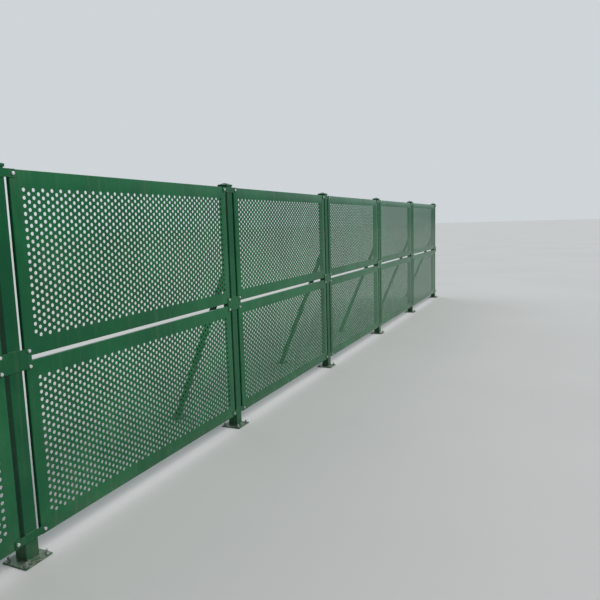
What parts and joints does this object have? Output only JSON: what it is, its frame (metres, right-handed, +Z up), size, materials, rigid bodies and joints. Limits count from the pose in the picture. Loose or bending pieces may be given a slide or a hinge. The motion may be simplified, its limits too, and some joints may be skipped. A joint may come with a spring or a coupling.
{
  "type": "perforated metal hoarding",
  "caption": "Run of perforated steel hoarding: upper and lower punched panels with folded edges, bolted by ear plates to braced square posts with caps and base plates.",
  "frame": {"origin": "underside of the middle post's base plate, under the post's axis", "axes": "+X along the fence, -Y towards the street side, +Z up"},
  "size_m": [13.1, 0.745, 2.038],
  "materials": {
    "green_panel_paint": "satin",
    "green_post_paint": "satin",
    "green_fitting_paint": "satin",
    "green_brace_paint": "satin",
    "zinc_bolts": "zinc plated"
  },
  "bodies": {
    "root": {"post_1": "green_post_paint", "post_2": "green_post_paint", "post_3": "green_post_paint", "post_4": "green_post_paint", "post_5": "green_post_paint", "post_6": "green_post_paint", "post_7": "green_post_paint", "base_plate_1": "green_fitting_paint", "base_plate_2": "green_fitting_paint", "base_plate_3": "green_fitting_paint", "base_plate_4": "green_fitting_paint", "base_plate_5": "green_fitting_paint", "base_plate_6": "green_fitting_paint", "base_plate_7": "green_fitting_paint", "ear_plates_1": "green_fitting_paint", "ear_plates_2": "green_fitting_paint", "ear_plates_3": "green_fitting_paint", "ear_plates_4": "green_fitting_paint", "ear_plates_5": "green_fitting_paint", "ear_plates_6": "green_fitting_paint", "ear_plates_7": "green_fitting_paint", "rear_brace_1": "green_brace_paint", "rear_brace_2": "green_brace_paint", "rear_brace_3": "green_brace_paint", "rear_brace_4": "green_brace_paint", "rear_brace_5": "green_brace_paint", "rear_brace_6": "green_brace_paint", "rear_brace_7": "green_brace_paint", "lower_panel_1": "green_panel_paint", "lower_panel_2": "green_panel_paint", "lower_panel_3": "green_panel_paint", "lower_panel_4": "green_panel_paint", "lower_panel_5": "green_panel_paint", "lower_panel_6": "green_panel_paint", "upper_panel_1": "green_panel_paint", "upper_panel_2": "green_panel_paint", "upper_panel_3": "green_panel_paint", "upper_panel_4": "green_panel_paint", "upper_panel_5": "green_panel_paint", "upper_panel_6": "green_panel_paint", "post_caps": "green_post_paint", "brace_feet": "green_fitting_paint"}
  },
  "joints": []
}
